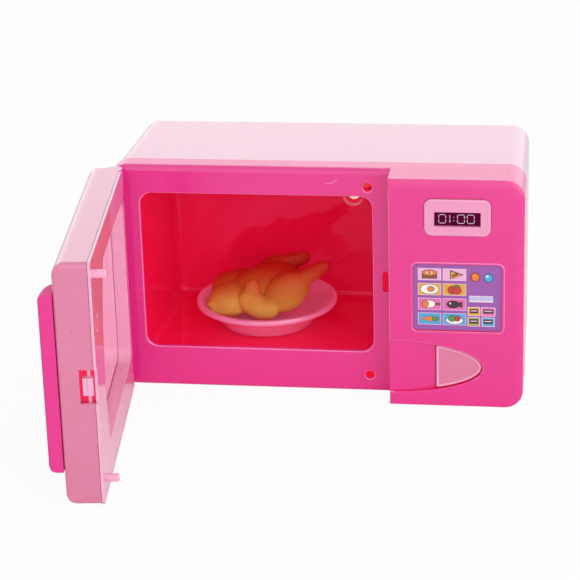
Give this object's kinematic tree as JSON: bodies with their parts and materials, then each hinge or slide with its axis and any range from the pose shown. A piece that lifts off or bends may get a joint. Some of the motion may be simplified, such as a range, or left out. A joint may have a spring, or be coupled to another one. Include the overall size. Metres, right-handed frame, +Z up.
{
  "type": "toy microwave oven",
  "caption": "Pink toy microwave with an open windowed door on a side hinge, a lamp-lit cavity, a turntable dish holding a roast chicken, and a keypad panel with a release button.",
  "frame": {"origin": "middle of the flat underside, half way between the control panel's face and the back", "axes": "+X to the right seen from the front, +Y from the front to the back, +Z up"},
  "size_m": [0.167, 0.1763, 0.0915],
  "materials": {
    "hot_pink_abs": "glossy moulded ABS with a soft sheen",
    "pale_pink_abs": "pale moulded ABS, semi-gloss",
    "door_pink_abs": "glossy translucent-looking pink ABS",
    "window_pink": "clear pink-tinted acrylic",
    "cavity_pink": "saturated pink-red, high gloss",
    "dish_pink": "pink, high gloss",
    "chicken_brown": "painted golden brown",
    "sticker_purple": "printed purple label with coloured tiles",
    "display_black": "printed dark label with pale digits",
    "acetal_ivory": "plain moulded, satin",
    "black_abs": "plain moulded, matt",
    "clear_bulb": "clear lens",
    "board_green": "circuit board laminate",
    "steel_bright": "zinc-plated",
    "brass_bright": "plain brass",
    "cell_jacket": "printed metal jacket"
  },
  "bodies": {
    "oven_body": {"front_housing": "hot_pink_abs", "cavity_liner": "cavity_pink", "rear_cover": "pale_pink_abs", "display_bezel": "pale_pink_abs", "display_label": "display_black", "keypad_label": "sticker_purple", "lamp_holder": "cavity_pink", "lamp_bulb": "clear_bulb", "lamp_board": "board_green", "lamp_switch": "black_abs", "drive_bracket": "acetal_ivory", "drive_motor": "steel_bright", "button_carrier": "acetal_ivory", "button_spring": "steel_bright", "lever_pin": "steel_bright", "battery_box": "black_abs", "battery_hatch": "pale_pink_abs", "battery_hatch_screw": "steel_bright", "sound_board": "board_green", "speaker": "brass_bright", "case_screw_1": "steel_bright", "case_screw_2": "steel_bright", "case_screw_3": "steel_bright", "case_screw_4": "steel_bright", "board_screw_1": "steel_bright", "board_screw_2": "steel_bright", "bracket_screw_1": "steel_bright", "bracket_screw_2": "steel_bright", "cell_1": "cell_jacket", "cell_2": "cell_jacket", "cell_spring_1": "steel_bright", "cell_spring_2": "steel_bright", "contact_strip_top": "steel_bright", "contact_strip_bottom": "steel_bright"},
    "door": {"door_shell": "door_pink_abs", "door_inner_plate": "door_pink_abs", "door_window": "window_pink", "door_handle": "hot_pink_abs", "door_catch": "pale_pink_abs", "hinge_pin_1": "steel_bright", "hinge_pin_2": "steel_bright"},
    "button": {"release_button": "door_pink_abs"},
    "lever": {"release_lever": "acetal_ivory"},
    "plunger": {"switch_plunger": "acetal_ivory"},
    "turntable": {"drive_spindle": "acetal_ivory", "dish": "dish_pink", "chicken": "chicken_brown"},
    "pinion": {"motor_pinion": "brass_bright"}
  },
  "joints": [
    {"name": "door_hinge", "type": "hinge", "parent": "oven_body", "child": "door", "pos_m": [-0.0766, -0.0308, 0.0455], "axis": [0, 0, 1], "range_deg": [-12, 83.9]},
    {"name": "release_press", "type": "slide", "parent": "oven_body", "child": "button", "axis": [0, 1, 0], "range_m": [0, 0.0026], "stiffness_N_per_m": 150, "springref_m": -0.001, "deforming": ["button_spring"]},
    {"name": "lever_turn", "type": "hinge", "parent": "oven_body", "child": "lever", "pos_m": [0.0361, -0.0183, 0.008], "axis": [0, 0, 1], "range_deg": [0, 9.5]},
    {"name": "lamp_switch_press", "type": "slide", "parent": "oven_body", "child": "plunger", "axis": [0, 1, 0], "range_m": [0, 0.0012], "stiffness_N_per_m": 100, "springref_m": -0.0005},
    {"name": "turntable_spin", "type": "hinge", "parent": "oven_body", "child": "turntable", "pos_m": [-0.0244, 0.0018, 0.012], "axis": [0, 0, 1], "continuous": true},
    {"name": "pinion_spin", "type": "hinge", "parent": "oven_body", "child": "pinion", "pos_m": [-0.0124, 0.0018, 0.0076], "axis": [1, 0, 0], "continuous": true}
  ],
  "couplings": [
    {"joint": "lever_turn", "follows": "release_press", "rad_per_m": 62.893},
    {"joint": "pinion_spin", "follows": "turntable_spin", "ratio": -4}
  ]
}
